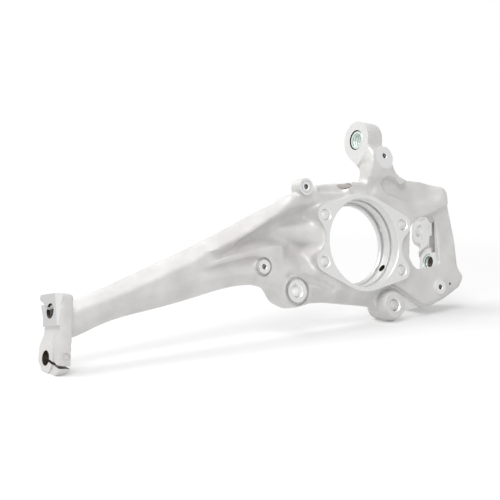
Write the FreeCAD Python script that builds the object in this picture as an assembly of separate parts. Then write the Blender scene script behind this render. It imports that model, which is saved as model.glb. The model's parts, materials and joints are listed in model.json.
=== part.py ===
"""Steering knuckle for a four-link front axle: a light-alloy casting with a long arm.

The casting is drawn in its own axes, in millimetres.  X points down the car towards the
lower ball joints, Y points inboard and Z points along the car towards the track rod arm.
The origin is the centre of the hub bore on the machined flange.
At the end everything is turned to the way the loose part lies on a floor, where it rests
on the foot of its head, on one caliper boss and on the inner corner of the joint shelf.
"""

import math
import os

import FreeCAD
import Part

V = FreeCAD.Vector

# How the loose part lies on a floor.
ROLL = 10.5            # clockwise turn seen from the wheel side, degrees
LEAN = 12.19           # backwards lean of the flange, degrees
REST_Z = -86.0         # height of the floor under the hub bore's centre

# Hub seat for the wheel bearing unit.
BORE_R = 46.0
BORE_DEPTH = 13.0
RELIEF_R = 44.4
LIP_R = 41.0
LIP_Y = 24.5
HUB_BACK = 28.5
FLANGE_R = 50.6
FLANGE_STEP = 2.5      # how far the machined flange stands proud of the casting
LOBE_R = 10.6
LOBE_ROOT_R = 15.0
LOBE_ROOT_Y = 20.0
HUB_FRONT_R = 52.0
HUB_ROOT_R = 64.0
HUB_ROOT_Y = 18.5
BOLT_X = 51.4
BOLT_Z = 24.2
BOLT_HOLE_R = 5.5
BOLT_PAD_R = 11.5
BOLT_PAD_Y = 24.0

# Main plate.
PLATE_FRONT = 4.0
PLATE_BACK = 26.0
THIN_BACK = 21.0       # back of the plate beside the window
THIN_X = 63.0

# Long arm and its head.
HEAD_FACE = -352.6     # X of the face that the two ball studs enter
HEAD_THICK = 14.3
HEAD_TOP = -78.5
UPPER_STUD = (15.3, -94.3)
LOWER_STUD = (22.2, -136.6)
STUD_R = 7.0
STUD_RING_R = 14.5
UPPER_DEPTH = 30.0     # the upper seat goes on into the arm
SLOT = 2.6
UPPER_SLOT_TURN = 24.0
LOWER_SLOT_TURN = 20.0
LOW_FACE_STEP = 2.0    # the lower half of the face lies this much deeper
RING_STEP = 1.0
PINCH_R = 5.2
PINCH_X = -344.6
PINCH_TOP_Y = 21.5     # where the pinch bolt hole leaves the top of the head
PINCH_END = 8.5        # how far it runs on, blind, past the lower seat
DIMPLE = (-343.6, -135.9)
DIMPLE_R = 3.6

# Track rod arm.
TIE_FACE = 7.2
TIE_THICK = 20.0
TIE_Y = 27.0
TIE_Z = 113.7
TIE_R = 20.0
TIE_SLEEVE_R = 10.0
TIE_BORE_R = 6.6

# Shelf with the lower ball joint seats.
SHELF_X = 107.5
SEAT_X = 110.0
UPPER_SEAT = (40.8, 27.1)
LOWER_SEAT = (25.0, -8.7)
UPPER_SPOT_R = 22.0
LOWER_SPOT_R = 16.0
SEAT_SLEEVE_R = 9.0
SEAT_BORE_R = 6.2
SEAT_SLEEVE_LENGTH = 17.5
SLEEVE_SET = 0.8       # how far a pressed-in sleeve sits below its face

# Caliper bosses and screw bosses, each as (x, z).
LEFT_CALIPER = (-84.1, -56.9)
RIGHT_CALIPER = (42.4, -62.1)
CALIPER_HOLE_R = 6.0
TOP_SCREW = (-77.6, 50.1)
ARM_SCREW = (-126.1, -35.7)
TIE_SCREW = (24.6, 95.2)
TIE_BOSS_R = 9.8
CORNER_SCREW = (108.4, -37.8)
PIN_HOLE = (123.2, -33.1)
PIN_R = 1.5
SCREW_R = 2.5

# Wheel speed sensor hole, drilled from the rim into the bore.
SENSOR_ANGLE = 110.0
SENSOR_Y = 9.0
SENSOR_R = 4.6
SENSOR_SPOT_R = 8.0
SENSOR_SPOT = 60.5     # distance of the spot face from the hub axis
NOTCH_ANGLE = -30.0    # small blind recess in the bore wall
NOTCH_Y = 18.0
NOTCH_R = 4.2


def rounded_wire(corners, place):
    """Closed wire through (a, b, radius) corners, each turned into an arc of that radius."""
    count = len(corners)
    ends = []
    for i, (a, b, r) in enumerate(corners):
        here = V(a, b, 0)
        before = V(*corners[i - 1][:2], 0)
        after = V(*corners[(i + 1) % count][:2], 0)
        u = (before - here).normalize()
        w = (after - here).normalize()
        half = math.acos(max(-1.0, min(1.0, u.dot(w)))) / 2
        if r <= 0 or half > math.radians(89.5):
            ends.append((here, None, here))
            continue
        run = r / math.tan(half)
        middle = here + (u + w).normalize() * (r / math.sin(half) - r)
        ends.append((here + u * run, middle, here + w * run))
    edges = []
    for i, (start, middle, stop) in enumerate(ends):
        if middle is not None:
            arc = Part.Arc(place(start.x, start.y), place(middle.x, middle.y), place(stop.x, stop.y))
            edges.append(arc.toShape())
        following = ends[(i + 1) % count][0]
        if (following - stop).Length > 1e-6:
            edges.append(Part.makeLine(place(stop.x, stop.y), place(following.x, following.y)))
    return Part.Wire(edges)


def plate(corners, y0, y1):
    """Prism along Y of an outline given in (x, z)."""
    face = Part.Face(rounded_wire(corners, lambda x, z: V(x, y0, z)))
    return face.extrude(V(0, y1 - y0, 0))


def slab(corners, x0, x1):
    """Prism along X of an outline given in (y, z)."""
    face = Part.Face(rounded_wire(corners, lambda y, z: V(x0, y, z)))
    return face.extrude(V(x1 - x0, 0, 0))


def grown(corners, distance):
    """The same corners moved outwards by a distance, for an outline drawn clockwise."""
    count = len(corners)
    moved = []
    for i, (a, b, r) in enumerate(corners):
        here = V(a, b, 0)
        along = (here - V(*corners[i - 1][:2], 0)).normalize()
        onward = (V(*corners[(i + 1) % count][:2], 0) - here).normalize()
        out_a = V(-along.y, along.x, 0)
        out_b = V(-onward.y, onward.x, 0)
        shift = (out_a + out_b) * (distance / (1 + out_a.dot(out_b)))
        bend = along.x * onward.y - along.y * onward.x
        moved.append((a + shift.x, b + shift.y, max(0.5, r - distance if bend > 0 else r + distance)))
    return moved


def pocket(corners, floor, mouth, draft):
    """Tool for a cast pocket with sloping walls.  The outline is that of its floor."""
    low = rounded_wire(corners, lambda x, z: V(x, floor, z))
    high = rounded_wire(grown(corners, draft), lambda x, z: V(x, mouth, z))
    return Part.makeLoft([low, high], True, True)


def slope_below(points):
    """Tool across the whole plate, of an outline given in (x, y)."""
    corners = [V(x, y, -100) for x, y in points]
    return Part.Face(Part.makePolygon(corners + corners[:1])).extrude(V(0, 0, 200))


def round_bar(x, z, y0, y1, r0, r1=None):
    """Cylinder or cone along Y."""
    if r1 is None:
        return Part.makeCylinder(r0, y1 - y0, V(x, y0, z), V(0, 1, 0))
    return Part.makeCone(r0, r1, y1 - y0, V(x, y0, z), V(0, 1, 0))


def cross_bar(y, z, x0, x1, radius):
    """Cylinder along X."""
    return Part.makeCylinder(radius, x1 - x0, V(x0, y, z), V(1, 0, 0))


def turned(profile):
    """Solid turned about the hub axis from (radius, y) points."""
    points = [V(r, y, 0) for r, y in profile]
    face = Part.Face(Part.makePolygon(points + points[:1]))
    return face.revolve(V(0, 0, 0), V(0, 1, 0), 360)


def soften(shape, radius, chosen):
    """Round every edge for which chosen(edge) is true."""
    return shape.makeFillet(radius, [edge for edge in shape.Edges if chosen(edge)])


def eased(shape, size, chosen):
    """Bevel every edge for which chosen(edge) is true."""
    return shape.makeChamfer(size, [edge for edge in shape.Edges if chosen(edge)])


def in_plane_y(y):
    """Chooses the edges that lie in the plane at depth y."""
    def chosen(edge):
        box = edge.BoundBox
        return abs(box.YMin - y) < 1e-4 and abs(box.YMax - y) < 1e-4
    return chosen


def in_plane_x(x):
    """Chooses the edges that lie in the plane at X = x."""
    def chosen(edge):
        box = edge.BoundBox
        return abs(box.XMin - x) < 1e-4 and abs(box.XMax - x) < 1e-4
    return chosen


def along_y(edge):
    """True for a straight edge along Y, apart from the seam of a round face."""
    box = edge.BoundBox
    return box.XLength < 1e-3 and box.ZLength < 1e-3 and box.YLength > 1


def bolt_places():
    """Centres of the four bearing bolts."""
    return [(sx * BOLT_X, sz * BOLT_Z) for sx in (-1, 1) for sz in (-1, 1)]


def body_plate():
    """The flat casting that carries the hub, the window and the caliper bosses."""
    outline = [
        (-124, 12, 20), (-92, 40, 14), (-57, 55.5, 40), (-8, 65, 60), (30, 67, 30), (50, 74, 25),
        (86, 76, 90), (120, 73, 9), (123, 56, 60), (132, 16, 150), (137, -15, 12), (147, -22, 7),
        (140, -35, 10), (117, -50, 60), (97, -58.4, 60), (63, -66.5, 30), (17, -64, 20),
        (-38, -64.2, 60), (-62, -67, 20), (-84, -74, 17), (-104, -68, 15), (-113, -54, 12), (-134, -52, 10),
    ]
    body = eased(plate(outline, PLATE_FRONT, PLATE_BACK), 3.6, in_plane_y(PLATE_FRONT))
    thinner = slope_below([
        (THIN_X - 14, PLATE_BACK + 1), (THIN_X, THIN_BACK), (160, THIN_BACK), (160, PLATE_BACK + 1),
    ])
    return body.cut(thinner)


def clipped(points, size):
    """The same outline with every corner cut off, at this distance along both its edges."""
    result = []
    for i, here in enumerate(points):
        after = points[(i + 1) % len(points)]
        result.append(here + (points[i - 1] - here).normalize() * size)
        result.append(here + (after - here).normalize() * size)
    return result


def arm_section(x, top, bottom, front, back, bevel):
    """Eight-sided section of the long arm, square to X, with eased corners."""
    low = bevel * 0.9
    points = clipped([
        V(x, front + bevel, top), V(x, back - 6, top), V(x, back, top - 7), V(x, back, bottom + 8),
        V(x, back - 7, bottom), V(x, front + low, bottom), V(x, front, bottom + low + 2),
        V(x, front, top - bevel),
    ], 1.8)
    return Part.makePolygon(points + points[:1])


def long_arm():
    """Arm that sweeps from the hub up to the head."""
    stations = [
        (-341, -87, -121, 3.5, 29, 9.5), (-300, -70, -103.5, 3, 29, 10.5), (-250, -45.5, -87, 2.5, 29.5, 12),
        (-200, -20.5, -71.5, 2.5, 30, 12.5), (-150, 7, -56, 2.5, 30, 12), (-112, 28, -53, 2.5, 29, 10),
        (-84, 41, -56, 3.5, 27, 9), (-58, 50, -58, 4, 26, 8),
    ]
    return Part.makeLoft([arm_section(*station) for station in stations], True, False)


def channel_section(x, top, valley, floor, bottom, depth):
    """Section of a valley in the front of the arm: steep upper wall, gentle lower one."""
    upper = (top - valley) * 0.25
    lower = (floor - bottom) * 0.3
    shoulder = 2.5 + (depth - 2.5) * 0.8
    points = [
        V(x, -8, top), V(x, 2.5, top), V(x, shoulder, valley + upper), V(x, depth, valley - upper),
        V(x, depth, floor), V(x, shoulder, floor - lower), V(x, 2.5, bottom), V(x, -8, bottom),
    ]
    return Part.makePolygon(points + points[:1])


def hub_valley():
    """Valley that starts as a crease in the arm and widens to the hollow beside the hub."""
    stations = [
        (-222, -43, -44.5, -45.5, -47.5, 2.6), (-182, -23.5, -27, -29.5, -36, 7.5),
        (-152, -8.5, -13, -17, -25, 12), (-126, 7.5, 1.5, -6, -17, 15.5), (-104, 21.5, 12, -5, -13, 18),
        (-84, 31, 22, -5, -15, 19), (-66, 36, 26, -6, -17, 19), (-46, 39, 28, -6, -17, 19),
    ]
    return Part.makeLoft([channel_section(*station) for station in stations], True, False)


def lower_valley():
    """Second, shorter valley that ends at the screw boss on the arm."""
    stations = [
        (-206, -45.5, -46.5, -47.5, -51, 3.0), (-176, -37, -39, -41, -50.5, 7.5),
        (-150, -29, -31.5, -34, -47, 9), (-134, -26, -29, -32, -43, 7.5), (-122, -27, -29, -31, -36, 3.0),
    ]
    return Part.makeLoft([channel_section(*station) for station in stations], True, False)


def corner_pocket():
    """Hollow in the corner beside the track rod arm, open at the top and scooped into the arm's root."""
    return pocket([
        (25.5, 66, 5), (31, 71.5, 5), (40, 71, 8), (53, 64.5, 8), (62, 70, 8), (66, 86, 3), (108, 88, 3),
        (109, 60, 6), (66, 51.5, 40), (33, 58, 8),
    ], 11.0, -4.0, 5.0)


def front_pockets():
    """Tools for the cast hollows and steps in the front."""
    top_strip = pocket([
        (-62, 47, 3), (-50, 62, 8), (-50, 84, 3), (16, 84, 3), (16, 55, 8), (-10, 54, 20), (-40, 50, 10),
    ], 8.0, -4.0, 6.0)
    under_hub = slab([(-5, -49, 0), (4, -51, 0), (17, -66.5, 0), (17, -80, 0), (-5, -80, 0)], -64, 24)
    low_step = pocket([
        (20, -36, 3), (50, -42.5, 4), (66, -50.5, 15), (88, -60.5, 3), (84, -80, 3), (20, -80, 3),
    ], 8.5, -4.0, 2.5)
    crescent = pocket([
        (-94, -41.5, 0.8), (-74, -39.5, 8), (-52, -43.5, 10), (-34, -51, 0.8), (-35, -53, 0.8),
        (-56, -47, 12), (-76, -44, 8), (-94, -43.7, 0.8),
    ], 8.5, -4.0, 7.0)
    return [top_strip, under_hub, low_step, crescent]


def hub_boss():
    """Heavy ring round the bore, with a long cast slope round its front."""
    return turned([
        (30, FLANGE_STEP), (HUB_FRONT_R, FLANGE_STEP), (HUB_ROOT_R, HUB_ROOT_Y),
        (HUB_ROOT_R - 4, PLATE_BACK - 1), (HUB_ROOT_R - 10, HUB_BACK), (30, HUB_BACK),
    ])


def flange():
    """Machined ring face with a lobe round each bearing bolt."""
    face = round_bar(0, 0, 0, PLATE_BACK - 2, FLANGE_R)
    for x, z in bolt_places():
        face = face.fuse(round_bar(x, z, 0, PLATE_BACK - 2, LOBE_R))
    face = soften(face.removeSplitter(), 5.0, along_y)
    roots = [round_bar(x, z, FLANGE_STEP, LOBE_ROOT_Y, LOBE_R + 0.8, LOBE_ROOT_R) for x, z in bolt_places()]
    return face.fuse(roots)


def floor_block():
    """The floor that the loose part lies on, seen in the part's own axes."""
    block = Part.makeBox(600, 300, 20, V(-450, -150, REST_Z - 20))
    block.rotate(V(0, 0, 0), V(1, 0, 0), LEAN)
    block.rotate(V(0, 0, 0), V(0, 1, 0), -ROLL)
    return block


def head():
    """Head of the arm: two ball stud seats, one above the other."""
    outline = [
        (-3, HEAD_TOP, 3), (39, HEAD_TOP, 3), (34, -88, 8), (28.5, -101, 12), (29, -115, 10), (38, -125, 8),
        (38.5, -137, 9), (26, -149.5, 9), (5, -154.5, 8), (-3, -147, 5),
    ]
    back = HEAD_FACE + HEAD_THICK
    side = [
        (HEAD_FACE, HEAD_TOP, 1.5), (back, HEAD_TOP, 4), (back, -148.5, 4), (back - 5, -152.5, 4),
        (HEAD_FACE, -155, 1.5),
    ]
    return slab(outline, HEAD_FACE, back).common(plate(side, -10, 50)).cut(floor_block())


def track_rod_arm():
    """Short arm and eye for the track rod, with its gusset."""
    side = [
        (12, 52, 4), (4, 68, 30), (-2, 84, 14), (-2, 97, 9), (10, 110, 4), (22, 110, 4), (18, 86, 20),
        (23, 68, 20), (26, 52, 4),
    ]
    front = [
        (TIE_FACE, 52, 0), (TIE_FACE, 112, 3), (27, 112, 3), (29, 104, 6), (37.5, 95, 8), (34, 86, 9),
        (44, 77, 20), (64, 72, 10), (64, 52, 0),
    ]
    neck = slab(side, TIE_FACE, 64).common(plate(front, -6, 30))
    eye = cross_bar(TIE_Y, TIE_Z, TIE_FACE, TIE_FACE + TIE_THICK, TIE_R)
    return neck.fuse(eased(eye, 1.5, in_plane_x(TIE_FACE + TIE_THICK)))


def joint_shelf():
    """Wall across the lower end that carries the two lower ball joint seats."""
    side = [
        (6, 58, 3), (22, 58, 8), (36, 42, 8), (54, 42, 10), (54, 15, 9), (40, 8, 8), (40, -20, 12),
        (48, -34, 14), (58, -42, 8), (58, -62, 4), (6, -62, 2),
    ]
    front = [
        (SHELF_X, 60, 1), (119, 66, 6), (122, 56, 60), (130.5, 16, 150), (135, -15, 12), (139, -24, 6),
        (136, -36, 8), (117, -49.6, 60), (97, -59.6, 5), (88, -55, 4), (98, -36, 14), (SHELF_X, -24, 10),
    ]
    return slab(side, 80, 150).common(plate(front, 6, 60)).cut(floor_block())


def caliper_bosses():
    """Two bosses for the caliper bracket."""
    left = round_bar(*LEFT_CALIPER, 2.5, 27, 15.0, 16.5)
    right = round_bar(*RIGHT_CALIPER, 0, 10, 13.9, 17.0).fuse(round_bar(*RIGHT_CALIPER, 10, 32, 17.0, 12.2))
    return left.fuse(right)


def screw_bosses():
    """Four small bosses for the cover plate and the line brackets."""
    top = round_bar(*TOP_SCREW, 0, 16, 8.8)
    arm = round_bar(*ARM_SCREW, 1.5, 20, 7.0)
    tie = round_bar(*TIE_SCREW, 0, 16, TIE_BOSS_R)
    corner = round_bar(*CORNER_SCREW, 2.5, 18, 7.3)
    return top.fuse([arm, tie, corner])


def arm_back_channel():
    """Lightening channel along the inboard side of the arm."""
    stations = [
        (-322, -93, -104, 26.5), (-300, -80, -95, 24), (-250, -55, -77, 22), (-200, -31, -60, 21.5),
        (-150, -5, -44, 21.5), (-118, 14, -38, 23), (-106, 18, -34, 25.5),
    ]
    sections = []
    for x, top, bottom, floor in stations:
        slope = (33 - floor) * 0.35
        points = [V(x, floor, top - slope), V(x, 33, top), V(x, 33, bottom), V(x, floor, bottom + slope)]
        sections.append(Part.makePolygon(points + points[:1]))
    return Part.makeLoft(sections, True, False)


def caliper_hole(x, z, face):
    """Hole along Y with a countersink of 1 mm at its mouth."""
    return round_bar(x, z, face - 5, 45, CALIPER_HOLE_R).fuse(
        round_bar(x, z, face - 2, face + 1, CALIPER_HOLE_R + 3, CALIPER_HOLE_R))


def ring_recess(x, z, inner, outer, floor):
    """Ring-shaped tool round a boss."""
    return round_bar(x, z, -8, floor, outer).cut(round_bar(x, z, -9, floor + 1, inner))


def front_holes():
    """Bolt, caliper and screw holes."""
    tools = []
    for x, z in bolt_places():
        tools.append(round_bar(x, z, -5, 40, BOLT_HOLE_R))
        tools.append(round_bar(x, z, BOLT_PAD_Y, 45, BOLT_PAD_R))
    tools.append(caliper_hole(*LEFT_CALIPER, 2.5))
    tools.append(caliper_hole(*RIGHT_CALIPER, 0))
    tools.append(round_bar(*TOP_SCREW, -5, 15, SCREW_R))
    tools.append(round_bar(*ARM_SCREW, -5, 16, SCREW_R))
    tools.append(round_bar(*TIE_SCREW, -5, 14, SCREW_R))
    tools.append(round_bar(*TIE_SCREW, -5, 0, TIE_BOSS_R))
    tools.append(round_bar(*CORNER_SCREW, -5, 16, SCREW_R))
    tools.append(round_bar(*PIN_HOLE, 0, 12, PIN_R))
    return tools


def spoke(angle):
    """Unit vector from the hub axis outwards, at an angle from X towards Z."""
    turn = math.radians(angle)
    return V(math.cos(turn), 0, math.sin(turn))


def sensor_holes():
    """Radial sensor hole with its spot face, and the small blind recess in the bore wall."""
    out = spoke(SENSOR_ANGLE)
    base = V(0, SENSOR_Y, 0)
    hole = Part.makeCylinder(SENSOR_R, 60, base + out * 30, out)
    spot = Part.makeCylinder(SENSOR_SPOT_R, 30, base + out * SENSOR_SPOT, out)
    out = spoke(NOTCH_ANGLE)
    notch = Part.makeCylinder(NOTCH_R, 19, V(0, NOTCH_Y, 0) + out * 30, out)
    return [hole, spot, notch]


def clamp_slot(seat, turn, start, length, depth):
    """Saw cut that opens a stud seat towards the rim of the head."""
    slot = Part.makeBox(depth, length, SLOT, V(0, start, -SLOT / 2))
    slot.rotate(V(0, 0, 0), V(1, 0, 0), turn)
    slot.translate(V(HEAD_FACE - 1, *seat))
    return slot


def head_cuts():
    """Stud seats, clamping slots, pinch bolt hole and face steps of the head."""
    front = HEAD_FACE - 1
    upper = cross_bar(*UPPER_STUD, front, HEAD_FACE + UPPER_DEPTH, STUD_R)
    lower = cross_bar(*LOWER_STUD, front, HEAD_FACE + 2 * HEAD_THICK, STUD_R)
    ring = cross_bar(*LOWER_STUD, HEAD_FACE + RING_STEP, HEAD_FACE + 5, STUD_RING_R)
    low_face = Part.makeBox(1 + LOW_FACE_STEP, 70, 60, V(front, -10, -168)).cut(ring)
    upper_slot = clamp_slot(UPPER_STUD, UPPER_SLOT_TURN, 0, 30, HEAD_THICK)
    lower_slot = clamp_slot(LOWER_STUD, LOWER_SLOT_TURN, -40, 40, HEAD_THICK + 5)
    low = V(PINCH_X, LOWER_STUD[0] - STUD_R - 0.5, LOWER_STUD[1])
    along = (V(PINCH_X, PINCH_TOP_Y, HEAD_TOP) - low).normalize()
    pinch = Part.makeCylinder(PINCH_R, 100, low - along * PINCH_END, along)
    corners = [
        V(front, 2.6, -170), V(HEAD_FACE + 4.6, -3, -170), V(HEAD_FACE + 4.6, -8, -170), V(front, -8, -170),
    ]
    bevel = Part.Face(Part.makePolygon(corners + corners[:1])).extrude(V(0, 0, 84))
    dimple = round_bar(*DIMPLE, -5, -1.5, DIMPLE_R)
    return [upper, lower, low_face, upper_slot, lower_slot, pinch, bevel, dimple]


def joint_cuts():
    """Track rod eye bore and the two lower ball joint seats."""
    eye = cross_bar(TIE_Y, TIE_Z, TIE_FACE - 1, TIE_FACE + TIE_THICK + 1, TIE_SLEEVE_R)
    upper_spot = cross_bar(*UPPER_SEAT, SHELF_X - 20, SEAT_X, UPPER_SPOT_R)
    lower_spot = cross_bar(*LOWER_SEAT, SHELF_X - 20, SEAT_X, LOWER_SPOT_R)
    spots = upper_spot.fuse(lower_spot).common(Part.makeBox(12, 80, 75, V(SEAT_X - 11, 5, -23)))
    upper = cross_bar(*UPPER_SEAT, SEAT_X - 5, 150, SEAT_BORE_R)
    lower = cross_bar(*LOWER_SEAT, SEAT_X - 5, 150, SEAT_SLEEVE_R)
    return [eye, spots, upper, lower]


def back_pockets():
    """Cast hollows on the inboard side."""
    lower = pocket([(62, -30, 5), (94, -27, 6), (96, -40, 5), (84, -52, 5), (64, -56, 5)], 13.0, 34.0, 6.0)
    return [arm_back_channel(), lower]


def window():
    """Opening between the hub and the ball joint shelf."""
    corners = [
        (66, 25, 8), (80, 35, 14), (104.5, 43, 8), (106.5, 14, 60), (108, -13, 6), (93, -18, 20),
        (75, -21.5, 9), (65.5, -10, 8),
    ]
    return plate(corners, -10, 100)


def casting():
    """The whole knuckle as it leaves the machine shop."""
    body = body_plate().fuse(long_arm())
    body = body.cut([hub_valley(), lower_valley()] + front_pockets() + back_pockets())
    body = body.fuse(track_rod_arm()).cut(corner_pocket())
    body = body.cut([
        ring_recess(*LEFT_CALIPER, 11.5, 15.0, 6.0), ring_recess(*ARM_SCREW, 7.0, 9.6, 6.0),
    ])
    body = body.fuse([
        hub_boss(), flange(), head(), joint_shelf(), caliper_bosses(), screw_bosses(),
    ])
    bore = turned([
        (0, -5), (BORE_R, -5), (BORE_R, BORE_DEPTH), (RELIEF_R, BORE_DEPTH), (RELIEF_R, LIP_Y),
        (LIP_R, LIP_Y), (LIP_R, HUB_BACK + 5), (0, HUB_BACK + 5),
    ])
    body = body.cut([bore, window()])
    body = body.cut(front_holes() + sensor_holes() + head_cuts() + joint_cuts())
    return body.removeSplitter()


def track_rod_sleeve():
    """Steel sleeve pressed into the eye of the track rod arm."""
    x0 = TIE_FACE + SLEEVE_SET
    x1 = TIE_FACE + TIE_THICK - SLEEVE_SET
    bore = cross_bar(TIE_Y, TIE_Z, x0 - 1, x1 + 1, TIE_BORE_R)
    return cross_bar(TIE_Y, TIE_Z, x0, x1, TIE_SLEEVE_R).cut(bore)


def ball_joint_sleeve():
    """Steel sleeve pressed into the lower ball joint seat."""
    x0 = SEAT_X + SLEEVE_SET
    x1 = x0 + SEAT_SLEEVE_LENGTH
    bore = cross_bar(*LOWER_SEAT, x0 - 1, x1 + 1, SEAT_BORE_R)
    return cross_bar(*LOWER_SEAT, x0, x1, SEAT_SLEEVE_R).cut(bore)


def settle(shape):
    """Turn a solid from its own axes to the way the part lies on a floor."""
    shape.rotate(V(0, 0, 0), V(0, 1, 0), ROLL)
    shape.rotate(V(0, 0, 0), V(1, 0, 0), -LEAN)
    return shape


def main():
    """Write one STEP file for each separate piece."""
    os.makedirs("parts", exist_ok=True)
    settle(casting()).exportStep("parts/knuckle_casting.step")
    settle(track_rod_sleeve()).exportStep("parts/track_rod_sleeve.step")
    settle(ball_joint_sleeve()).exportStep("parts/ball_joint_sleeve.step")


main()
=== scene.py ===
"""Looks of the steering knuckle: cast skin, machined faces, pressed-in sleeves, floor and light.

The casting is remade the way a foundry makes it.  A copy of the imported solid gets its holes
plugged and stock on its machined faces, its edges are worn soft like cast ones, and then
the faces and holes are cut, which leaves them crisp.

Forms are given in mm in the knuckle's own axes, and the stage in metres in the frame's axes.
"""

import json
import math

import bmesh
import bpy
from mathutils import Matrix, Vector


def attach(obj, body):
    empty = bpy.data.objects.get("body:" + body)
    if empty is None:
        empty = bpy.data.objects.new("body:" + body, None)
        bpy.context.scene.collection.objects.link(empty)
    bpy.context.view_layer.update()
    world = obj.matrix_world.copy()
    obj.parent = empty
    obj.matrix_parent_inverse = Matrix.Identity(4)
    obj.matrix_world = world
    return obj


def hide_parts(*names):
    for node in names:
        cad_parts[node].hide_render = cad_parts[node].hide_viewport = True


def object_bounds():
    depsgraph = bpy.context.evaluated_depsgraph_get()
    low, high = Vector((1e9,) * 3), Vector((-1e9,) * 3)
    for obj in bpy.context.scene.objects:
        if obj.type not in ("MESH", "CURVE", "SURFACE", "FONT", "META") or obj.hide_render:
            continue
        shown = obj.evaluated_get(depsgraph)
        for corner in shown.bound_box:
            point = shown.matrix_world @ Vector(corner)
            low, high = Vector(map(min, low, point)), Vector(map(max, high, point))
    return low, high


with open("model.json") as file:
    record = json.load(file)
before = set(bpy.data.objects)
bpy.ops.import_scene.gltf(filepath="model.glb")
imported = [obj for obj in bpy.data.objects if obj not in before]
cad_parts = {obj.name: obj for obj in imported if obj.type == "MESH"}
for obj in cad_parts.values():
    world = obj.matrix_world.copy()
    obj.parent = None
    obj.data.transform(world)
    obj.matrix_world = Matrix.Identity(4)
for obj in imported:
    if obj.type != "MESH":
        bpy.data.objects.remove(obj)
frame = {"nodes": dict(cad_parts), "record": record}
cad_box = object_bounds()

MM = 0.001

# Finishes of the casting, in the order of its materials. The fourth is near-black painted shade
# for deep holes, slots and grooves, and the sixth is a brown painted shade for the dip round the
# speed sensor.
CAST, MACHINED, REAMED, PAINTED_SHADE, MILLED, SHADED_SPOT = range(6)

# Cast skin.
VOXEL = 1.35
WEAR_PASSES = 5        # rounds of smoothing that wear the cast edges
HEAD_WEAR_PASSES = 3   # rounds of these that the head gets
HEAD_WEAR_END = 2.0    # how far past the head's back its lighter wear goes
SLOPE_WEAR_PASSES = 20
WEAR = 0.5             # share of the way that a round moves a point
STOCK = 3.0            # stock left on a machined face
PLUG = 1.6             # how much wider than its hole a plug is
NEAR = 0.1             # a point this near to a face's plane lies in it
SAME_POINT = 1e-4      # points nearer than this are one, mm
SAME_PACKED_POINT = 1e-6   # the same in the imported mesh, m
SHARP_ANGLE = 35.0     # edges sharper than this stay crisp, degrees
SLEEVE_SHARP_ANGLE = 30.0

# Steps round a turned form.
STEPS = 64
PIN_STEPS = 24
HOLE_STEPS = 48
SLOPE_STEPS = 96
RING_STEPS = 128
HUB_STEPS = 160

# How far cutters reach past what they cut.
FACING = 12.0          # ahead of a face that is milled
DRILLING = 15.0        # ahead of a hole's mouth
SINKING = 8.0          # ahead of the front, for a small hole
THROUGH = 60.0         # behind the mouth of a hole that goes through
STEP_FRONT = -6.0      # front of the cutters for cast steps

# Camera of the photograph.
CAMERA_PLACE = (-0.968636, -1.141128, 0.228582)
CAMERA_AZIMUTH = -35.7376
CAMERA_ELEVATION = 9.0
CAMERA_LENS = 104.4
CAMERA_SENSOR = 36

mounts = {mount["name"]: mount for mount in frame["record"]["mounts"]}


def way(name):
    """Direction in which the mate of a mount leaves it."""
    return Vector(mounts[name]["axis"])


# The knuckle's own axes: X down the car, Y inboard, Z along the car, from the hub's centre.
DOWN = -way("upper_ball_stud")
INBOARD = -way("hub_bore")
ALONG = DOWN.cross(INBOARD)
OWN = Matrix((DOWN, INBOARD, ALONG)).transposed().to_4x4() @ Matrix.Scale(MM, 4)


def at(name):
    """Place of a mount in the knuckle's own axes."""
    return OWN.inverted() @ Vector(mounts[name]["pos_m"])


def radius(name):
    """Radius of a mount."""
    return mounts[name]["dims"]["r_mm"]


def hole_length(name):
    """Length of a mount's hole."""
    return mounts[name]["dims"]["length_mm"]


# Bosses whose end is machined: radius of the end and depth of its face from the flange face.
BOSSES = {
    "caliper_left": (11.5, 2.5), "caliper_right": (13.9, 0.0), "top_screw": (8.8, 0.0),
    "arm_screw": (7.0, 1.5), "tie_screw": (9.8, 0.0), "corner_screw": (7.3, 2.5),
}
BOSS_ROOT = 12.0       # how far behind its face a boss's stock starts
BOSS_MARGIN = 4.0      # how much wider than the boss its face is milled
LARGE_BOSS_R = 10.0    # bosses wider than this have a through hole
LARGE_BEVEL = 1.0
SMALL_BEVEL = 0.4
CALIPER_BOSS = [(0, 0), (13.1, 0), (13.9, 0.8), (16.9, 10), (12.4, 31.0), (11.6, 32), (0, 32)]
RING_RECESSES = [("caliper_left", 14.8, 6.0), ("arm_screw", 9.6, 6.0)]  # outer radius and floor
RECESS_AHEAD = 9.0
RECESS_DRAFT = 0.6
TOP_SCREW_GROOVE = (5.6, 6.1, 0.0, 0.5)  # radii, face and floor
PIN_HOLE = (123.2, -33.1)
PIN_R = 1.5
PIN_DEPTH = 12.0

# Hub.
HUB_BOLTS = [name for name in mounts if name.startswith("hub_bolt")]
HUB_BOLT_BEVEL = 0.7
FLANGE_R = 50.6
LOBE_R = 10.6
PAD_R = 11.5           # pads behind the bearing bolts
PAD_Y = 24.0
HUB_BACK = 28.5
BORE_R = radius("hub_bore")
BORE_DEPTH = 13.0
RELIEF_R = 44.4
LIP_R = 41.0
LIP_Y = 24.5
BORE_BEVEL = 0.8
LIP_BEVEL = 0.6
BORE_UNDERCUT = (1.0, 1.4, 1.2)    # depth, and how far before the shoulder it starts and is full
RELIEF_UNDERCUT = (1.2, 1.8, 1.4)
HUB_FRONT_R = 75       # how wide the hub is turned in front of the flange
HUB_BACK_R = 58        # and behind it
HUB_BACK_Y = 45

# Webs beside the flange's lobes: their waist on the ring, as (x, z) in one quarter.
WAIST = [(51.4, 24.2), (58.6, 16.4), (54.6, 12), (51.6, 7), (50.2, 2), (40, 2)]
EAR_DEPTH = 12.0       # how deep the webs go
EAR_INSET = 4.0        # how far inside the bore they start

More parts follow.
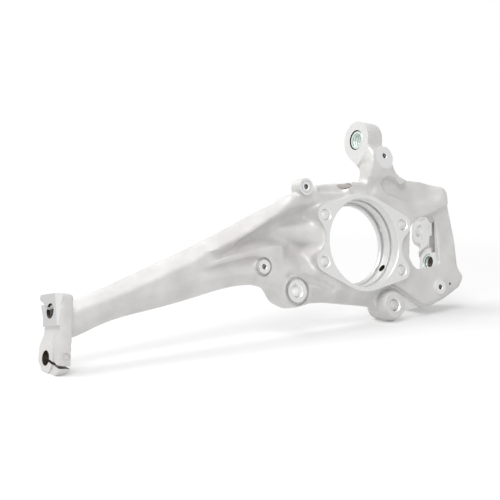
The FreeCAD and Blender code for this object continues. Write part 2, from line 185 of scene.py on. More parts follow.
# Speed sensor hole and the small recess in the bore wall, as distances from the hub's axis.
SENSOR_SPOT = 60.5
SENSOR_SPOT_R = 9.0
SENSOR_SPOT_SINK = 1.0
SENSOR_HOLE = (30, 80)
SENSOR_PLUG_START = 40
NOTCH_ANGLE = -30.0
NOTCH_Y = 18.0
NOTCH_R = 4.2
NOTCH_SPAN = (30, 49)

# Head, with the seats of the two upper ball studs.
HEAD_FACE = at("upper_ball_stud").x
HEAD_BACK = HEAD_FACE + 14.3
HEAD_LOW = (-20, -175)     # corners of the box round the head, as (y, z)
HEAD_HIGH = (60, -65)
LOW_FACE_TOP = -108
LOW_FACE_STEP = 2.0    # the lower half of the face lies this much deeper
RING_R = 14.5          # raised ring round the lower seat
RING_STEP = 1.0
RING_ROOT = 6.0
LOWER_SEAT_RUN_OUT = 8.0   # behind the head's back
SLOT = 2.6
SLOT_AHEAD = 1.0
UPPER_SLOT = (24.0, 0, 30)     # turn in degrees, and where the saw cut starts and stops
LOWER_SLOT = (20.0, -40, 0)
LOWER_SLOT_RUN_OUT = 5.0
PINCH_DEPTH = 67.0
PINCH_AHEAD = 30.0
PINCH_PLUG_START = 1.0
PINCH_PLUG_STOP = 69.0
DIMPLE = (-343.6, -135.9)
DIMPLE_R = 3.6
DIMPLE_FLOOR = -1.5
HEAD_BEVEL_SPAN = (-70, -116)
# The head's front edge is bevelled by this outline, as (x, y), at the two ends of the span.
HEAD_BEVEL_TOP = [(-360, 9), (-352.6, 9), (-349, -4), (-349, -9), (-360, -9)]
HEAD_BEVEL_LOW = [(-360, -1.5), (-352.6, -1.5), (-352.2, -4), (-352.2, -9), (-360, -9)]

# Eye of the track rod arm.
EYE_FACE = 7.2
EYE_BACK = 27.2
EYE_R = 20.0
EYE_R_SLACK = 0.2
EYE_MARGIN = 1.0       # how much wider than the eye its faces are milled
EYE_HOLE = (0, 40)
EYE_ROOT = 8.0         # how far behind its face the flank's stock starts
EYE_FLANK = [
    (46.5, 109), (44, 102), (38, 95.5), (30, 89.5), (23, 83), (19, 72), (8, 72), (10, 100),
    (27, 113.7),
]
EYE_FLANK_SINK = 0.4   # how far behind the eye's face the flank's skin starts
EYE_FLANK_BACK = 24
EYE_FLANK_FACE = [
    (46.5, 109), (44, 102), (38, 95.5), (30, 89.5), (23, 84), (8, 100), (27, 113.7),
]
EYE_CUT = [(60, 136), (60, 98), (23, 84.5), (5, 101), (5, 136)]

# Lower ball joint seats: spot face radius of each, and how far the cutters reach.
SEAT_X = 110.0
SPOT_RADII = {"front_lower_seat": 22.0, "rear_lower_seat": 16.0}
SPOT_AHEAD = 11.0
SEAT_AHEAD = 5.0
SEAT_THROUGH = 40.0
SEAT_PLUG_AHEAD = 0.5
SEAT_PLUG_STOPS = {"front_lower_seat": 129, "rear_lower_seat": 133}

# Sleeves.
SLEEVE_R = 10.0
SEAT_SLEEVE_R = 9.0
SLEEVE_SET = 0.8       # how far a sleeve sits below its face
SLEEVE_BEVEL = 0.6
SLEEVE_MOUTH = 0.7     # how much wider than the bore its mouths are
SLEEVE_PITCH = 3.0     # distance between the grooves in a sleeve's bore
SLEEVE_LAND = 0.7      # width of the land between two grooves
SLEEVE_RUN = 1.2       # how far past the land's start a groove is deepest
SLEEVE_GROOVE = 0.5    # depth of a groove
SLEEVE_GAP = 0.7       # width and depth of the groove round the eye's sleeve
SLEEVE_GAP_DEPTH = 2.4
SLEEVE_BORE_SLACK = 0.6
# The lower sleeve's bore gets near-black painted shade from this depth on.
SLEEVE_SHADE_DEPTH = 5.0     # how far in the lower sleeve's bore turns dark
SLEEVES = [            # node, mount, face, length and radius
    ("track_rod_sleeve", "track_rod", EYE_FACE, EYE_BACK - EYE_FACE - 2 * SLEEVE_SET, SLEEVE_R),
    ("ball_joint_sleeve", "rear_lower_seat", SEAT_X, 17.5, SEAT_SLEEVE_R),
]
# Sleeve whose deep bore gets painted shade.
SHADE_PAINTED_SLEEVE = "ball_joint_sleeve"

# Cast forms that the looks add.  The slope beside the hub is a profile as (radius, y), kept
# in a box; the ridge is a bar with its two radii; the scoop is the outlines of mouth and floor.
HUB_SLOPE = [(0, 3), (53, 3), (60, 5), (72, 13), (86, 20), (86, 24), (0, 24)]
HUB_SLOPE_SECTOR = ((-90, 0, -34), (-40, 30, 16))
HUB_RIDGE = ((-48, 19, 5), (-114, 25, 3), 17, 6)
HUB_SCOOP = (
    [(-106, 1, -6), (-52, 1, -6), (-53, 1, -38), (-76, 1, -42), (-104, 1, -32)],
    [(-86, 19, -4), (-69, 19, -4), (-69, 19, -17), (-77, 19, -18), (-85, 19, -14)],
)
# Steps in the front, as (x, z, floor y), the wedge as (x, y), and the box beside the window.
WINDOW_STEP = [
    (72, 32, 9), (91, 38.5, 9), (116, 51.5, 9), (126, 55, 9), (145, 52, 9), (145, -14, 3.6),
    (104, -15, 3.6), (90, 6, 7),
]
CORNER_WEDGE = [(92, 12), (113, 3.9), (113, 14), (92, 14)]
CORNER_WEDGE_SPAN = (56, 72.5)
SHELF_HOLLOW = ((103.5, 11, 1), (115, 20, 34))
LOW_STEP = [
    (18, -36, 11), (50, -43, 11), (66, -50, 11), (86, -58.5, 11), (84, -82, 11), (18, -82, 11),
]
LOW_STEP_DRAFT = 1.5
FLANGE_AHEAD = -20     # the flange reaches this far forward where it shields itself from a step

# Boxes in which the cast forms are softest: the slope beside the hub, the top edge and the
# upper right corner.
SOFT_BOXES = [
    ((-108, 3.2, -44), (-48, 23, 38)), ((-72, 3.2, 52), (24, 20, 70)),
    ((88, -99, 52), (130, 20, 84)),
]


def object_of(name, bm, finish=CAST):
    """Object made of a bmesh drawn in the knuckle's own axes."""
    for face in bm.faces:
        face.material_index = finish
    bm.transform(OWN)
    mesh = bpy.data.meshes.new(name)
    bm.to_mesh(mesh)
    bm.free()
    made = bpy.data.objects.new(name, mesh)
    bpy.context.collection.objects.link(made)
    return made


def add_bar(bm, start, stop, r0, r1=None, segments=STEPS):
    """Adds a round bar between two points."""
    start = Vector(start)
    stop = Vector(stop)
    turn = (stop - start).to_track_quat("Z", "Y").to_matrix().to_4x4()
    place = Matrix.Translation((start + stop) / 2) @ turn
    bmesh.ops.create_cone(
        bm, cap_ends=True, segments=segments, radius1=r0, radius2=r0 if r1 is None else r1,
        depth=(stop - start).length, matrix=place)


def add_box(bm, low, high, place=None):
    """Adds a box between two corners, moved by a matrix."""
    low = Vector(low)
    high = Vector(high)
    stretch = Matrix.Translation((low + high) / 2) @ Matrix.Diagonal((*(high - low), 1))
    bmesh.ops.create_cube(bm, size=1.0, matrix=(place or Matrix()) @ stretch)


def add_turned(bm, profile, x=0.0, z=0.0, segments=STEPS):
    """Adds a solid turned about an axis along Y from (radius, y) points."""
    verts = [bm.verts.new((x + r, y, z)) for r, y in profile]
    edges = [bm.edges.new(pair) for pair in zip(verts, verts[1:])]
    bmesh.ops.spin(
        bm, geom=verts + edges, cent=(x, 0, z), axis=(0, 1, 0), steps=segments, angle=2 * math.pi,
        use_merge=True)
    bmesh.ops.remove_doubles(bm, verts=bm.verts[:], dist=SAME_POINT)
    bmesh.ops.recalc_face_normals(bm, faces=bm.faces[:])


def add_prism(bm, front, back):
    """Adds a solid between two outlines with as many corners each."""
    first = bm.faces.new([bm.verts.new(corner) for corner in front])
    made = bmesh.ops.extrude_face_region(bm, geom=[first])["geom"]
    for vert in [piece for piece in made if isinstance(piece, bmesh.types.BMVert)]:
        nearest = min(range(len(front)), key=lambda i: (vert.co - Vector(front[i])).length)
        vert.co = back[nearest]
    bmesh.ops.recalc_face_normals(bm, faces=bm.faces[:])


def across_x(outline, x):
    """Outline of (y, z) points in the plane across X."""
    return [(x, y, z) for y, z in outline]


def across_y(outline, y):
    """Outline of (x, z) points in the plane across Y."""
    return [(x, y, z) for x, z in outline]


def across_z(outline, z):
    """Outline of (x, y) points in the plane across Z."""
    return [(x, y, z) for x, y in outline]


def applied(target):
    """Turns the modifiers of an object into its mesh."""
    depsgraph = bpy.context.evaluated_depsgraph_get()
    mesh = bpy.data.meshes.new_from_object(target.evaluated_get(depsgraph), depsgraph=depsgraph)
    target.modifiers.clear()
    target.data = mesh
    return mesh


def combined(target, other, operation):
    """Joins other to target or cuts it away, and removes it."""
    for material in target.data.materials:
        other.data.materials.append(material)
    step = target.modifiers.new("step", "BOOLEAN")
    step.operation = operation
    step.solver = "MANIFOLD"
    step.object = other
    applied(target)
    bpy.data.objects.remove(other)


def cut(target, finish, add, *args, **more):
    """Cuts one shape away, drawn by add with the rest of the values."""
    bm = bmesh.new()
    add(bm, *args, **more)
    combined(target, object_of("cutter", bm, finish), "DIFFERENCE")


def weld(target, add, *args, **more):
    """Joins one shape on, drawn by add with the rest of the values."""
    bm = bmesh.new()
    add(bm, *args, **more)
    combined(target, object_of("welded", bm), "UNION")


def spoke(angle):
    """Unit vector from the hub's axis outwards, at an angle from X towards Z."""
    turn = math.radians(angle)
    return Vector((math.cos(turn), 0, math.sin(turn)))


def sensor_line():
    """Start of the speed sensor's axis on the hub's axis, and its direction."""
    sensor = at("speed_sensor")
    return Vector((0, sensor.y, 0)), spoke(math.degrees(math.atan2(sensor.z, sensor.x)))


def pinch_way():
    """Direction in which the pinch bolt leaves its hole."""
    return (OWN.inverted().to_3x3() @ way("pinch_bolt")).normalized()


def seat_radius(name):
    """Radius of a lower ball joint seat in the casting."""
    return SEAT_SLEEVE_R if name == "rear_lower_seat" else radius(name)


def slot_box(seat, slot, depth):
    """Corners and place of the saw cut that opens a stud seat."""
    turn, start, stop = slot
    x = HEAD_FACE - STOCK - SLOT_AHEAD
    place = Matrix.Translation((0, seat.y, seat.z)) @ Matrix.Rotation(math.radians(turn), 4, "X")
    return (x, start, -SLOT / 2), (x + depth, stop, SLOT / 2), place


def ear_outlines(lobe):
    """Outlines of the webs that lead from the lobe round a bearing bolt to the ring."""
    side = math.copysign(1, lobe.x)
    up = math.copysign(1, lobe.z)
    lean = math.degrees(
        math.atan2(abs(lobe.z), abs(lobe.x)) + math.acos((FLANGE_R - LOBE_R) / lobe.length))
    out = spoke(lean)
    out = Vector((side * out.x, 0, up * out.z))
    tangent = [lobe, lobe + out * LOBE_R, out * FLANGE_R, out * (BORE_R - EAR_INSET)]
    return [[(place.x, place.z) for place in tangent], [(side * x, up * z) for x, z in WAIST]]


def weld_flange(made, front):
    """Solid of the flange ring, its lobes and their webs, from a plane in front of it."""
    weld(made, add_bar, (0, front, 0), (0, HUB_BACK + STOCK, 0), FLANGE_R, segments=RING_STEPS)
    for name in HUB_BOLTS:
        x, _, z = at(name)
        weld(made, add_bar, (x, front, z), (x, PAD_Y, z), LOBE_R)
        for outline in ear_outlines(Vector((x, 0, z))):
            weld(made, add_prism, across_y(outline, front), across_y(outline, EAR_DEPTH))


def raise_faces(bm):
    """Moves the flat faces that will be machined outwards."""
    eye = at("track_rod")
    for vert in bm.verts:
        place = vert.co
        if place.x < HEAD_FACE + LOW_FACE_STEP + NEAR:
            place.x = HEAD_FACE - STOCK
        if math.hypot(place.y - eye.y, place.z - eye.z) < EYE_R + EYE_R_SLACK:
            if abs(place.x - EYE_FACE) < NEAR:
                place.x -= STOCK
            elif abs(place.x - EYE_BACK) < NEAR:
                place.x += STOCK


def add_stock(made):
    """Puts stock on the flange and the bosses, so that their edges come out crisp."""
    weld_flange(made, -STOCK)
    for name, (r, face) in BOSSES.items():
        x, _, z = at(name)
        weld(made, add_bar, (x, face - STOCK, z), (x, face + BOSS_ROOT, z), r)
    weld(made, add_prism, across_x(EYE_FLANK_FACE, EYE_FACE - STOCK),
         across_x(EYE_FLANK_FACE, EYE_FACE + EYE_ROOT))


def plug_holes(made):
    """Fills the holes that will be drilled, so that wear doesn't widen their mouths."""
    face = HEAD_FACE - STOCK
    upper = at("upper_ball_stud")
    lower = at("lower_ball_stud")
    bottom = HEAD_FACE + hole_length("upper_ball_stud") + 1
    stud = radius("upper_ball_stud") + PLUG
    weld(made, add_bar, (face, upper.y, upper.z), (bottom, upper.y, upper.z), stud)
    weld(made, add_bar, (face, lower.y, lower.z), (HEAD_BACK, lower.y, lower.z), stud)
    pinch = at("pinch_bolt")
    along = pinch_way()
    weld(made, add_bar, pinch - along * PINCH_PLUG_STOP, pinch - along * PINCH_PLUG_START,
         radius("pinch_bolt") + PLUG)
    eye = at("track_rod")
    weld(made, add_bar, (EYE_FACE - STOCK, eye.y, eye.z), (EYE_BACK + STOCK, eye.y, eye.z),
         SLEEVE_R + PLUG)
    for name, stop in SEAT_PLUG_STOPS.items():
        seat = at(name)
        weld(made, add_bar, (SEAT_X - SEAT_PLUG_AHEAD, seat.y, seat.z), (stop, seat.y, seat.z),
             seat_radius(name) + PLUG)
    base, out = sensor_line()
    weld(made, add_bar, base + out * SENSOR_PLUG_START, base + out * SENSOR_SPOT,
         radius("speed_sensor") + PLUG)


def add_step(bm, step, draft=0.0):
    """Adds the cutter of a cast step in the front, down to its floor."""
    add_prism(
        bm, [(x, STEP_FRONT, z) for x, z, _ in step], [(x, y, z - draft) for x, z, y in step])


def cast_forms(made):
    """Slope, ridge and scoop beside the hub, flank of the eye, corner and step by the window."""
    bm = bmesh.new()
    add_turned(bm, HUB_SLOPE, segments=SLOPE_STEPS)
    slope = object_of("slope", bm)
    bm = bmesh.new()
    add_box(bm, *HUB_SLOPE_SECTOR)
    combined(slope, object_of("sector", bm), "INTERSECT")
    combined(made, slope, "UNION")
    cut(made, CAST, add_prism, *HUB_SCOOP)
    weld(made, add_bar, *HUB_RIDGE)
    weld(made, add_prism, across_x(EYE_FLANK, EYE_FACE + EYE_FLANK_SINK),
         across_x(EYE_FLANK, EYE_FLANK_BACK))
    low, high = CORNER_WEDGE_SPAN
    weld(made, add_prism, across_z(CORNER_WEDGE, low), across_z(CORNER_WEDGE, high))
    cut(made, CAST, add_step, WINDOW_STEP)


def wear(bm, verts):
    """One round of wear on some points of the skin."""
    bmesh.ops.smooth_vert(
        bm, verts=verts, factor=WEAR, use_axis_x=True, use_axis_y=True, use_axis_z=True)


def softly_cast(place):
    """True for a place in a box of the softest cast forms."""
    return any(
        all(least < value < most for least, value, most in zip(low, place, high))
        for low, high in SOFT_BOXES)


def raw_casting(materials):
    """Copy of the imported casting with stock, plugs and worn edges."""
    own = OWN.inverted()
    bm = bmesh.new()
    bm.from_mesh(frame["nodes"]["knuckle_casting"].data)
    bmesh.ops.remove_doubles(bm, verts=bm.verts[:], dist=SAME_PACKED_POINT)
    bm.transform(own)
    raise_faces(bm)
    made = object_of("knuckle_casting_skin", bm)
    for material in materials:
        made.data.materials.append(material)
    cast_forms(made)
    add_stock(made)
    plug_holes(made)
    skin = made.modifiers.new("skin", "REMESH")
    skin.mode = "VOXEL"
    skin.voxel_size = VOXEL * MM
    mesh = applied(made)
    bm = bmesh.new()
    bm.from_mesh(mesh)
    arm_verts = [vert for vert in bm.verts if (own @ vert.co).x > HEAD_BACK + HEAD_WEAR_END]
    for turn in range(WEAR_PASSES):
        wear(bm, bm.verts[:] if turn < HEAD_WEAR_PASSES else arm_verts)
    slope_verts = [vert for vert in arm_verts if softly_cast(own @ vert.co)]
    for _ in range(SLOPE_WEAR_PASSES):
        wear(bm, slope_verts)
    bm.to_mesh(mesh)
    bm.free()
    return made


def undercut(r, shoulder, groove):
    """End of a bore's wall, with the groove that the tool runs out in before a shoulder."""
    depth, start, full = groove
    return [(r, shoulder - start), (r + depth, shoulder - full), (r + depth, shoulder)]


def hub_profile():
    """Section of what is turned away in front of the flange, in the bore and behind it."""
    return [
        (0, -FACING), (HUB_FRONT_R, -FACING), (HUB_FRONT_R, 0), (BORE_R + BORE_BEVEL, 0),
        (BORE_R, BORE_BEVEL), *undercut(BORE_R, BORE_DEPTH, BORE_UNDERCUT),
        (RELIEF_R, BORE_DEPTH), *undercut(RELIEF_R, LIP_Y, RELIEF_UNDERCUT),
        (LIP_R + LIP_BEVEL, LIP_Y), (LIP_R, LIP_Y + LIP_BEVEL), (LIP_R, HUB_BACK),
        (HUB_BACK_R, HUB_BACK), (HUB_BACK_R, HUB_BACK_Y), (0, HUB_BACK_Y),
    ]


def machine_hub(made):
    """Turns the flange and bore, and drills the bearing bolt holes and the sensor hole."""
    cut(made, MACHINED, add_turned, hub_profile(), segments=HUB_STEPS)
    for name in HUB_BOLTS:
        x, _, z = at(name)
        cut(made, MACHINED, add_bar, (x, PAD_Y, z), (x, THROUGH, z), PAD_R)
        drill(made, name, 0.0, THROUGH, HUB_BOLT_BEVEL)
    base, out = sensor_line()
    start, stop = SENSOR_HOLE
    # Painted shade: the sensor's spot face in brown, its hole and the notch in the bore wall
    # near-black.
    cut(made, SHADED_SPOT, add_bar, base + out * (SENSOR_SPOT - SENSOR_SPOT_SINK), base + out * stop,
        SENSOR_SPOT_R)
    cut(made, PAINTED_SHADE, add_bar, base + out * start, base + out * stop, radius("speed_sensor"))
    middle = Vector((0, NOTCH_Y, 0))
    start, stop = (middle + spoke(NOTCH_ANGLE) * reach for reach in NOTCH_SPAN)
    cut(made, PAINTED_SHADE, add_bar, start, stop, NOTCH_R)


def drill(made, name, face, depth, bevel):
    """Hole along Y with a countersink."""
    x, _, z = at(name)
    r = radius(name)
    cut(made, REAMED, add_turned, [
        (0, face - DRILLING), (r + bevel, face - DRILLING), (r + bevel, face), (r, face + bevel),
        (r, face + depth), (0, face + depth),
    ], x, z, segments=HOLE_STEPS)


def ring_recess(made, name, inner, outer, face, floor):
    """Ring-shaped recess round a boss, with the skin of the casting."""
    x, _, z = at(name)
    mouth = face - RECESS_AHEAD
    corners = [(inner, mouth), (outer + RECESS_DRAFT, mouth), (outer, floor), (inner, floor)]
    cut(made, CAST, add_turned, corners + corners[:1], x, z)


def cut_low_step(made):
    """Crisp step under the hub, which leaves the flange whole."""
    bm = bmesh.new()
    add_step(bm, LOW_STEP, LOW_STEP_DRAFT)
    step = object_of("low_step", bm)
    flange = bpy.data.objects.new("flange", bpy.data.meshes.new("flange"))
    bpy.context.collection.objects.link(flange)
    weld_flange(flange, FLANGE_AHEAD)
    combined(step, flange, "DIFFERENCE")
    combined(made, step, "DIFFERENCE")


def machine_bosses(made):
    """Faces the bosses and drills their holes."""
    cut_low_step(made)
    cut(made, CAST, add_box, *SHELF_HOLLOW)
    x, _, z = at("caliper_right")
    weld(made, add_turned, CALIPER_BOSS, x, z)
    for name, (r, face) in BOSSES.items():
        x, _, z = at(name)
        if name != "caliper_right":
            cut(made, MACHINED, add_bar, (x, face - FACING, z), (x, face, z), r + BOSS_MARGIN)
        if r > LARGE_BOSS_R:
            drill(made, name, face, THROUGH, LARGE_BEVEL)
        else:
            drill(made, name, face, hole_length(name), SMALL_BEVEL)
    for name, outer, floor in RING_RECESSES:
        r, face = BOSSES[name]
        ring_recess(made, name, r, outer, face, floor)
    ring_recess(made, "top_screw", *TOP_SCREW_GROOVE)
    x, z = PIN_HOLE
    cut(made, MACHINED, add_bar, (x, -SINKING, z), (x, PIN_DEPTH, z), PIN_R, segments=PIN_STEPS)


def machine_head(made):
    """Mills the head's face and makes its seats, slots and pinch bolt hole."""
    upper = at("upper_ball_stud")
    lower = at("lower_ball_stud")
    before = HEAD_FACE - DRILLING
    stud = radius("upper_ball_stud")
    cut(made, MILLED, add_box, (before, *HEAD_LOW), (HEAD_FACE, *HEAD_HIGH))
    top, bottom = HEAD_BEVEL_SPAN
    cut(made, MACHINED, add_prism, across_z(HEAD_BEVEL_TOP, top), across_z(HEAD_BEVEL_LOW, bottom))
    bm = bmesh.new()
    add_box(bm, (before, *HEAD_LOW), (HEAD_FACE + LOW_FACE_STEP, HEAD_HIGH[0], LOW_FACE_TOP))
    low_face = object_of("low_face", bm, MACHINED)
    cut(low_face, MACHINED, add_bar, (HEAD_FACE + RING_STEP, lower.y, lower.z),
        (HEAD_FACE + RING_ROOT, lower.y, lower.z), RING_R)
    combined(made, low_face, "DIFFERENCE")
    bottom = HEAD_FACE + hole_length("upper_ball_stud")
    # The stud seats and the lower slot get near-black painted shade.
    cut(made, PAINTED_SHADE, add_bar, (before, upper.y, upper.z), (bottom, upper.y, upper.z), stud)
    bottom = HEAD_BACK + LOWER_SEAT_RUN_OUT
    cut(made, PAINTED_SHADE, add_bar, (before, lower.y, lower.z), (bottom, lower.y, lower.z), stud)
    depth = HEAD_BACK - HEAD_FACE + STOCK
    cut(made, MACHINED, add_box, *slot_box(upper, UPPER_SLOT, depth))
    cut(made, PAINTED_SHADE, add_box, *slot_box(lower, LOWER_SLOT, depth + LOWER_SLOT_RUN_OUT))
    pinch = at("pinch_bolt")
    along = pinch_way()
    cut(made, MACHINED, add_bar, pinch - along * PINCH_DEPTH, pinch + along * PINCH_AHEAD,
        radius("pinch_bolt"))
    x, z = DIMPLE
    cut(made, CAST, add_bar, (x, -SINKING, z), (x, DIMPLE_FLOOR, z), DIMPLE_R)


def machine_joints(made):
    """Faces and bores the eye of the track rod arm and the lower ball joint seats."""
    eye = at("track_rod")
    for start, stop in ((EYE_FACE - FACING, EYE_FACE), (EYE_BACK, EYE_BACK + FACING)):
        cut(made, MACHINED, add_bar, (start, eye.y, eye.z), (stop, eye.y, eye.z),
            EYE_R + EYE_MARGIN)
    cut(made, MACHINED, add_prism, across_x(EYE_CUT, EYE_FACE - FACING),
        across_x(EYE_CUT, EYE_FACE))
    start, stop = EYE_HOLE
    cut(made, REAMED, add_bar, (start, eye.y, eye.z), (stop, eye.y, eye.z), SLEEVE_R)
    # The groove round the eye's sleeve gets near-black painted shade.
    cut(made, PAINTED_SHADE, add_bar, (start, eye.y, eye.z), (EYE_FACE + SLEEVE_GAP_DEPTH, eye.y, eye.z),
        SLEEVE_R + SLEEVE_GAP)
    for name, spot in SPOT_RADII.items():
        seat = at(name)
        cut(made, MACHINED, add_bar, (SEAT_X - SPOT_AHEAD, seat.y, seat.z),
            (SEAT_X, seat.y, seat.z), spot)
        cut(made, REAMED, add_bar, (SEAT_X - SEAT_AHEAD, seat.y, seat.z),
            (SEAT_X + SEAT_THROUGH, seat.y, seat.z), seat_radius(name))


def add_sleeve(bm, seat, start, length, outer, bore):
    """Adds a turned sleeve along X with bevelled ends and a grooved bore."""
    profile = [
        (bore + SLEEVE_MOUTH, 0), (outer - SLEEVE_BEVEL, 0), (outer, SLEEVE_BEVEL),
        (outer, length - SLEEVE_BEVEL), (outer - SLEEVE_BEVEL, length),
        (bore + SLEEVE_MOUTH, length),
    ]
    for turn in range(int((length - 1) / SLEEVE_PITCH), 0, -1):
        groove = turn * SLEEVE_PITCH
        profile += [
            (bore, groove), (bore, groove - SLEEVE_LAND),
            (bore + SLEEVE_GROOVE, groove - SLEEVE_RUN),
        ]
    add_turned(bm, profile + profile[:1])
    bm.transform(
        Matrix.Translation((start, seat.y, seat.z)) @ Matrix.Rotation(-math.pi / 2, 4, "Z"))


def smooth(made, sharp_angle):
    """Smooth shading between crisp edges."""
    for polygon in made.data.polygons:
        polygon.use_smooth = True
    made.data.set_sharp_from_angle(angle=math.radians(sharp_angle))


def darken_bore(sleeve, seat, bore, start):
    """Gives the bore of a sleeve its second finish, a painted shade, from a depth on."""
    for polygon in sleeve.data.polygons:
        place = OWN.inverted() @ polygon.center
        in_bore = math.hypot(place.y - seat.y, place.z - seat.z) < bore + SLEEVE_BORE_SLACK
        if in_bore and place.x > start:
            polygon.material_index = 1


class Finish:
    """Principled material whose pattern nodes are joined by short calls."""

    def __init__(self, name, colour, metallic, roughness):
        self.material = bpy.data.materials.new(name)
        self.material.use_nodes = True
        self.tree = self.material.node_tree
        self.shader = self.tree.nodes["Principled BSDF"]
        self.shader.inputs["Base Color"].default_value = (*colour, 1)
        self.shader.inputs["Metallic"].default_value = metallic
        self.shader.inputs["Roughness"].default_value = roughness
        self.place = self.node("ShaderNodeTexCoord").outputs["Object"]

    def node(self, kind, links=None, **values):
        """New node with its settings, and with sockets linked or set by name or number."""
        made = self.tree.nodes.new(kind)
        for key, value in values.items():
            setattr(made, key, value)
        for socket, value in (links or {}).items():
            if isinstance(value, bpy.types.NodeSocket):
                self.tree.links.new(value, made.inputs[socket])
            else:
                made.inputs[socket].default_value = value
        return made

    def noise(self, scale, detail=3.0, place=None):
        """Value of a noise with this many blots a metre."""
        links = {"Vector": place or self.place, "Scale": scale, "Detail": detail}
        return self.node("ShaderNodeTexNoise", links).outputs["Fac"]

    def between(self, value, low, high, to_low, to_high):
        """Value moved from one range to another."""
        links = {0: value, 1: low, 2: high, 3: to_low, 4: to_high}
        return self.node("ShaderNodeMapRange", links).outputs[0]

    def blend(self, factor, first, second):
        """Colour between two, by a factor."""
        links = {0: factor, 6: (*first, 1), 7: (*second, 1)}
        return self.mixed(links)

    def mixed(self, links):
        """Colour of a mix node with these sockets."""
        return self.node("ShaderNodeMix", links, data_type="RGBA").outputs[2]

    def bump(self, height, depth, under=None):
        """Relief of this depth in metres, on top of another."""
        links = {"Height": height, "Distance": depth, "Strength": 1.0}
        if under:
            links["Normal"] = under
        return self.node("ShaderNodeBump", links).outputs["Normal"]

    def use(self, socket, value):
        """Links a value to a socket of the shader."""
        self.tree.links.new(value, self.shader.inputs[socket])

    def uneven(self, scale, low, high, to_low, to_high):
        """Lets the roughness wander between two values."""
        self.use("Roughness", self.between(self.noise(scale), low, high, to_low, to_high))


def cast_skin():
    """Blasted casting: satin grey with faint blots and a fine grain."""
    skin = Finish("cast_aluminium", (0.66, 0.655, 0.64), 0.3, 0.5)
    blots = skin.between(skin.noise(38, detail=4), 0.38, 0.62, 0.0, 1.0)
    tint = skin.between(skin.noise(16, detail=2), 0.45, 0.62, 0.0, 1.0)
    pale = skin.blend(blots, (0.625, 0.62, 0.605), (0.70, 0.695, 0.68))
    warm = skin.blend(blots, (0.61, 0.595, 0.59), (0.685, 0.67, 0.665))
    skin.use("Base Color", skin.mixed({0: tint, 6: pale, 7: warm}))
    skin.uneven(120, 0.3, 0.7, 0.44, 0.6)
    waves = skin.bump(skin.noise(85, detail=2), 0.0005)
    skin.use("Normal", skin.bump(skin.noise(1400, detail=2), 0.00006, waves))
    return skin.material


def machined_face():
    """Bright cut metal with the marks of the tool round the hub's axis."""
    face = Finish("machined_aluminium", (0.74, 0.74, 0.735), 0.55, 0.34)
    turn = OWN.to_3x3().normalized().to_euler()
    own = face.node(
        "ShaderNodeMapping", {"Vector": face.place, "Rotation": tuple(turn)},
        vector_type="TEXTURE")
    apart = face.node("ShaderNodeSeparateXYZ", {0: own.outputs[0]}).outputs
    ring = face.node("ShaderNodeCombineXYZ", {0: apart["X"], 1: apart["Z"]}).outputs[0]
    away = face.node("ShaderNodeVectorMath", {0: ring}, operation="LENGTH").outputs["Value"]
    marks = face.node("ShaderNodeCombineXYZ", {0: away, 1: apart["Y"]}).outputs[0]
    dullness = face.noise(150, detail=2, place=marks)
    face.use("Roughness", face.between(dullness, 0.35, 0.65, 0.26, 0.4))
    face.use("Normal", face.bump(face.noise(600, detail=2, place=marks), 0.000006))
    return face.material


def milled_face():
    """Duller face left by a milling cutter."""
    face = Finish("milled_aluminium", (0.58, 0.58, 0.58), 0.5, 0.42)
    face.uneven(160, 0.3, 0.7, 0.36, 0.5)
    return face.material


def plated_steel():
    """Steel sleeve with a greenish zinc plating."""
    steel = Finish("zinc_plated_steel", (0.72, 0.80, 0.77), 0.75, 0.3)
    steel.uneven(500, 0.3, 0.7, 0.26, 0.38)
    return steel.material


def reamed_bore():
    """Bright wall of a reamed hole."""
    wall = Finish("reamed_aluminium", (0.9, 0.9, 0.895), 1.0, 0.3)
    wall.uneven(400, 0.3, 0.7, 0.24, 0.36)
    return wall.material


def painted_shade_spot():
    """Spot face of the speed sensor in a darker brown: painted shade of its dip."""
    spot = Finish("stained_aluminium", (0.58, 0.53, 0.515), 0.2, 0.5)
    blots = spot.between(spot.noise(220), 0.4, 0.6, 0.0, 1.0)
    spot.use("Base Color", spot.blend(blots, (0.48, 0.44, 0.425), (0.66, 0.62, 0.605)))
    return spot.material


def painted_shade_wall():
    """Near-black painted shade for the walls of stud seats, slots, grooves, sleeve bores and the
    sensor hole.
    """
    wall = Finish("oily_aluminium", (0.075, 0.06, 0.045), 0.5, 0.3)
    wall.uneven(300, 0.35, 0.65, 0.22, 0.45)
    return wall.material


painted_shade_material = painted_shade_wall()
casting = raw_casting([
    cast_skin(), machined_face(), reamed_bore(), painted_shade_material, milled_face(), painted_shade_spot(),
])
machine_hub(casting)
machine_bosses(casting)
machine_head(casting)
machine_joints(casting)
smooth(casting, SHARP_ANGLE)
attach(casting, "root")
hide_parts("knuckle_casting")

steel = plated_steel()
for name, mount, face, length, outer in SLEEVES:
    bm = bmesh.new()
    add_sleeve(bm, at(mount), face + SLEEVE_SET, length, outer, radius(mount))
    sleeve = object_of(name + "_turned", bm)
    sleeve.data.materials.append(steel)
    # The sleeves' second material is near-black painted shade, laid deep in the lower sleeve's
    # bore.
    sleeve.data.materials.append(painted_shade_material)
    if name == SHADE_PAINTED_SLEEVE:
        darken_bore(sleeve, at(mount), radius(mount), face + SLEEVE_SHADE_DEPTH)
    smooth(sleeve, SLEEVE_SHARP_ANGLE)
    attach(sleeve, "root")
    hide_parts(name)

# Stage, in metres.
WORLD_LIGHT = 0.42
LAMP_SIZE = 1.1
LAMPS = [("key", (-0.73, -0.73, 1.47), 15.7), ("back", (-0.73, 0.73, 1.47), 17.6)]
FLOOR_SIZE = 12
FLOOR_MIDDLE = -0.1    # middle of the floor, under the part
FLOOR_NEAR = 0.32      # the floor keeps the part's shadow up to this far from its middle
FLOOR_FAR = 0.75       # and is plain white from here on
FLOOR_GLOW = 0.3       # share of plain white near the part, which keeps the shadow pale


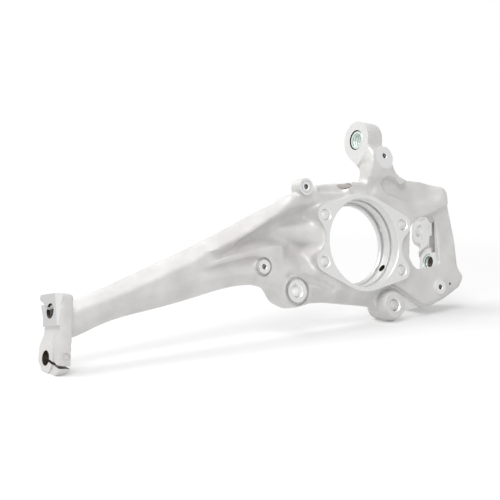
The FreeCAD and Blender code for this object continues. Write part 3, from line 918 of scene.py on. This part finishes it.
def seen_directly(tree):
    """1 for camera, glossy and transmission rays, 0 for the light on the part."""
    rays = tree.nodes.new("ShaderNodeLightPath").outputs
    total = rays["Is Camera Ray"]
    for name in ("Is Glossy Ray", "Is Transmission Ray"):
        add = tree.nodes.new("ShaderNodeMath")
        add.operation = "ADD"
        add.use_clamp = True
        tree.links.new(total, add.inputs[0])
        tree.links.new(rays[name], add.inputs[1])
        total = add.outputs[0]
    return total


def stage_floor():
    """White floor that keeps the part's shadow and fades into the background."""
    bpy.ops.mesh.primitive_plane_add(size=FLOOR_SIZE, location=(FLOOR_MIDDLE, 0, cad_box[0].z))
    floor = bpy.context.object
    floor.name = "floor"
    white = Finish("floor_white", (0.93, 0.93, 0.93), 0.0, 0.9)
    white.shader.inputs["Specular IOR Level"].default_value = 0.0
    away = white.node("ShaderNodeVectorMath", {0: white.place}, operation="LENGTH")
    far = white.between(away.outputs["Value"], FLOOR_NEAR, FLOOR_FAR, FLOOR_GLOW, 1.0)
    shown = white.node(
        "ShaderNodeMath", {0: far, 1: seen_directly(white.tree)}, operation="MULTIPLY").outputs[0]
    glow = white.node("ShaderNodeEmission", {"Strength": 1.0}).outputs[0]
    fade = white.node("ShaderNodeMixShader", {0: shown, 1: white.shader.outputs[0], 2: glow})
    surface = white.tree.nodes["Material Output"].inputs["Surface"]
    white.tree.links.new(fade.outputs[0], surface)
    floor.data.materials.append(white.material)


def world_light():
    """Even light from all round, in front of a white background."""
    world = bpy.data.worlds.new("studio")
    world.use_nodes = True
    tree = world.node_tree
    background = tree.nodes["Background"]
    background.inputs["Color"].default_value = (1, 1, 1, 1)
    strength = tree.nodes.new("ShaderNodeMapRange")
    strength.inputs["To Min"].default_value = WORLD_LIGHT
    tree.links.new(seen_directly(tree), strength.inputs["Value"])
    tree.links.new(strength.outputs[0], background.inputs["Strength"])
    bpy.context.scene.world = world


def lamp(name, place, power):
    """Soft square lamp aimed at the part."""
    light = bpy.data.lights.new(name, "AREA")
    light.size = LAMP_SIZE
    light.energy = power
    made = bpy.data.objects.new(name, light)
    made.location = place
    made.rotation_euler = (-Vector(place)).to_track_quat("-Z", "Y").to_euler()
    bpy.context.collection.objects.link(made)


def photo_camera():
    """Camera at the photograph's place."""
    data = bpy.data.cameras.new("camera")
    data.lens = CAMERA_LENS
    data.sensor_width = CAMERA_SENSOR
    made = bpy.data.objects.new("camera", data)
    bpy.context.collection.objects.link(made)
    made.location = CAMERA_PLACE
    azimuth = math.radians(CAMERA_AZIMUTH)
    elevation = math.radians(CAMERA_ELEVATION)
    back = Vector((
        math.sin(azimuth) * math.cos(elevation), -math.cos(azimuth) * math.cos(elevation),
        math.sin(elevation)))
    made.rotation_euler = (-back).to_track_quat("-Z", "Y").to_euler()
    bpy.context.scene.camera = made


stage_floor()
world_light()
for name, place, power in LAMPS:
    lamp(name, place, power)
photo_camera()
bpy.context.scene.view_settings.view_transform = "Standard"
